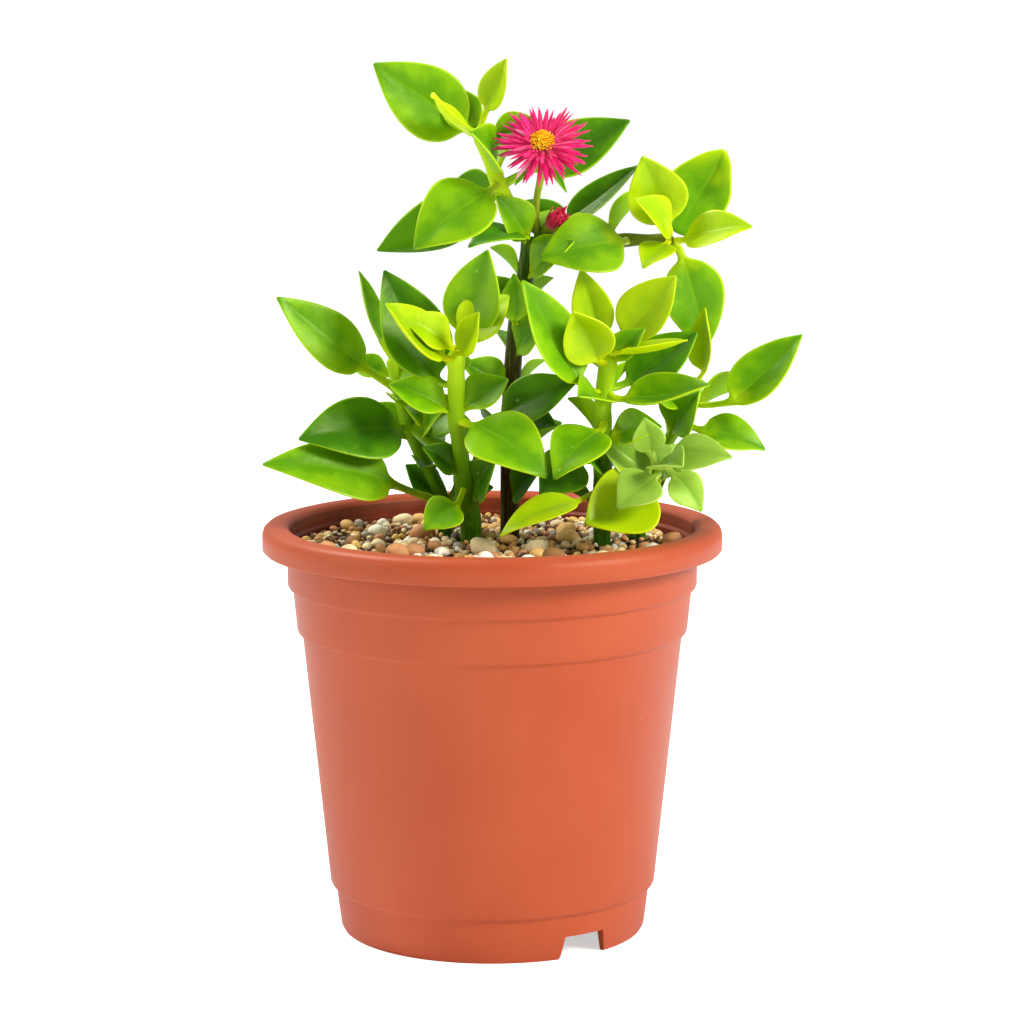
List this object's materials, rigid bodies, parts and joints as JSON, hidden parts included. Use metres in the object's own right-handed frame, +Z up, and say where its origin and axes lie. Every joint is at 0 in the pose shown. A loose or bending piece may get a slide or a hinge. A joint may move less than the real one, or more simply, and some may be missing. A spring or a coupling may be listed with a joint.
{
  "type": "potted ice plant",
  "caption": "Fleshy-leaved ice plant with one open pink flower, growing in a gravel-topped, moulded plastic nursery pot with a foot ring.",
  "frame": {"origin": "on the ground at the middle of the pot's underside hub", "axes": "+Z up along the pot's axis, -Y towards the plant's front"},
  "size_m": [0.1231, 0.105, 0.1994],
  "materials": {
    "pot_plastic": "satin moulded polypropylene, terracotta colour",
    "potting_mix": "matt crumbly substrate",
    "gravel": "matt mixed pebbles, cream, yellow and pink-brown",
    "stem_green": "satin fleshy green stem",
    "stem_brown": "satin older stem, green over red-brown",
    "leaf_fresh": "semi-gloss fleshy leaf, fresh green with yellow-green margin",
    "leaf_deep": "semi-gloss fleshy leaf, deep green",
    "leaf_sunny": "semi-gloss young leaf, yellow-green",
    "leaf_pale": "satin small leaf, grey-green with a bloom",
    "petals": "soft magenta needle petals",
    "stamens": "powdery yellow stamens",
    "bud": "satin crimson bud"
  },
  "bodies": {
    "root": {"back_left_leaf_1": "leaf_fresh", "back_left_leaf_2": "leaf_fresh", "back_left_leaf_3": "leaf_deep", "back_left_leaf_4": "leaf_fresh", "back_left_stem": "stem_green", "far_right_leaf_1": "leaf_sunny", "far_right_leaf_2": "leaf_fresh", "far_right_leaf_3": "leaf_fresh", "far_right_stem": "stem_green", "flower_bud": "bud", "flower_disc": "stamens", "flower_petals": "petals", "flower_stalk": "stem_green", "front_left_leaf_1": "leaf_sunny", "front_left_leaf_2": "leaf_deep", "front_left_leaf_3": "leaf_fresh", "front_left_leaf_4": "leaf_sunny", "front_left_leaf_5": "leaf_fresh", "front_left_leaf_6": "leaf_fresh", "front_left_stem": "stem_green", "front_right_leaf_1": "leaf_fresh", "front_right_leaf_2": "leaf_sunny", "front_right_leaf_3": "leaf_sunny", "front_right_leaf_4": "leaf_sunny", "front_right_leaf_5": "leaf_sunny", "front_right_leaf_6": "leaf_deep", "front_right_leaf_7": "leaf_fresh", "front_right_leaf_8": "leaf_fresh", "front_right_stem": "stem_green", "gravel_layer": "gravel", "left_link_stem": "stem_green", "low_front_leaf_1": "leaf_sunny", "low_front_leaf_2": "leaf_deep", "low_right_leaf_1": "leaf_pale", "low_right_leaf_2": "leaf_pale", "low_right_leaf_3": "leaf_pale", "low_right_leaf_4": "leaf_pale", "low_right_leaf_5": "leaf_sunny", "low_right_stem": "stem_green", "main_leaf_1": "leaf_deep", "main_leaf_2": "leaf_deep", "main_leaf_3": "leaf_fresh", "main_leaf_4": "leaf_deep", "main_stem": "stem_brown", "pot": "pot_plastic", "potting_mix": "potting_mix", "right_leaf_1": "leaf_fresh", "right_leaf_2": "leaf_sunny", "right_leaf_3": "leaf_fresh", "right_leaf_4": "leaf_sunny", "right_leaf_5": "leaf_sunny", "right_leaf_6": "leaf_fresh", "right_stem": "stem_green", "top_left_leaf_1": "leaf_fresh", "top_left_leaf_2": "leaf_sunny", "top_left_leaf_3": "leaf_sunny", "top_left_leaf_4": "leaf_fresh", "top_left_leaf_5": "leaf_deep", "top_left_leaf_6": "leaf_deep", "top_left_stem": "stem_green"}
  },
  "joints": []
}
